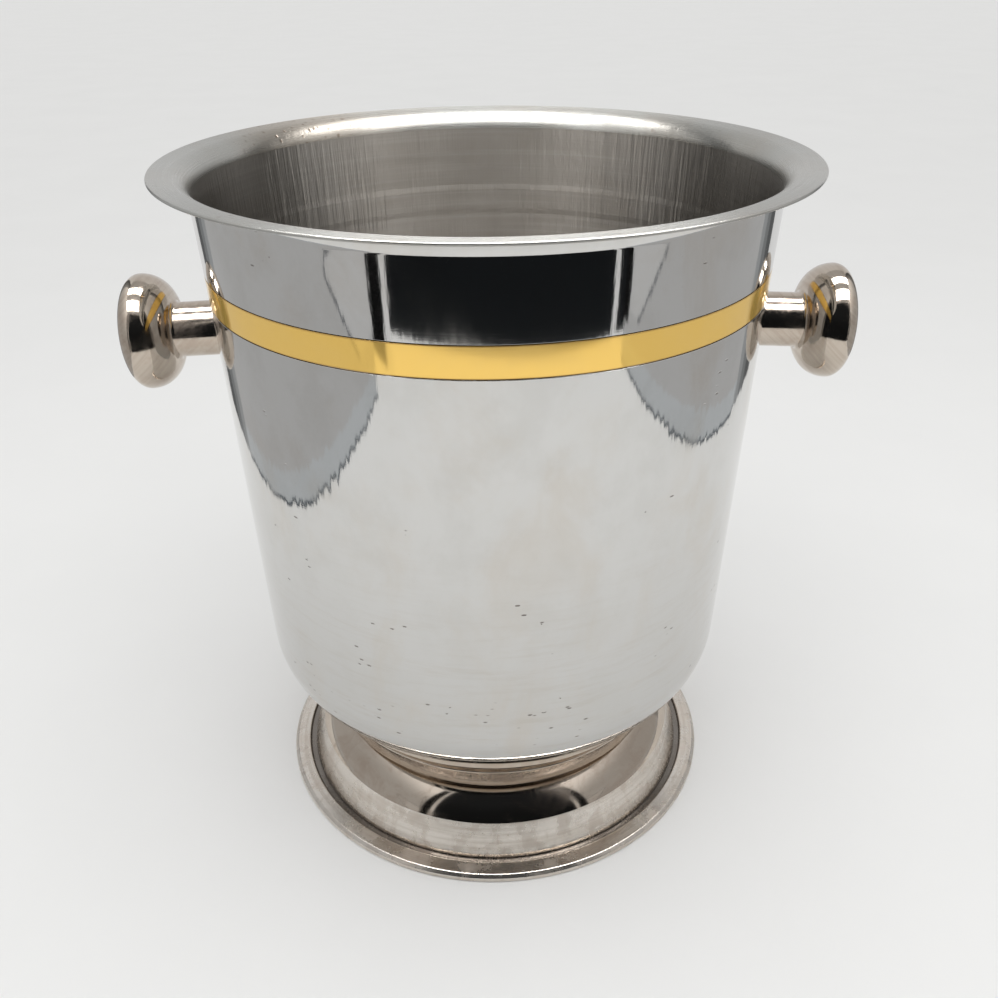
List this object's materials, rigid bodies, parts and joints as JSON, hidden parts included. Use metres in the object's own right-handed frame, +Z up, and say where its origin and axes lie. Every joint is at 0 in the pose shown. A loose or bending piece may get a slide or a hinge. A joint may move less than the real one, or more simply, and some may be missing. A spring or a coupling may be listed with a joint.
{
  "type": "footed champagne bucket",
  "caption": "Tall round metal wine cooler with a flared rim, a gilt band, mushroom side knobs and a stepped hollow pedestal foot",
  "frame": {"origin": "centre of the foot's resting ring, on the surface the bucket stands on", "axes": "+Z up the bucket's axis, +X through the right knob, so both knobs lie along X and -Y is the front"},
  "size_m": [0.239, 0.2, 0.2267],
  "materials": {
    "polished_steel": "mirror polished outside, fine brushed inside",
    "gilt": "polished gilt",
    "nickel_plate": "warm nickel plate with light tarnish",
    "fixings": "plain zinc plated",
    "seal": "matt black"
  },
  "bodies": {
    "root": {"bucket_body": "polished_steel", "gold_band": "gilt", "knob_left": "nickel_plate", "knob_right": "nickel_plate", "knob_washer_left": "seal", "knob_washer_right": "seal", "knob_screw_left": "fixings", "knob_screw_right": "fixings", "collar_ring": "nickel_plate", "foot_base": "nickel_plate", "foot_stud": "fixings", "foot_washer": "fixings", "foot_nut": "fixings"}
  },
  "joints": []
}
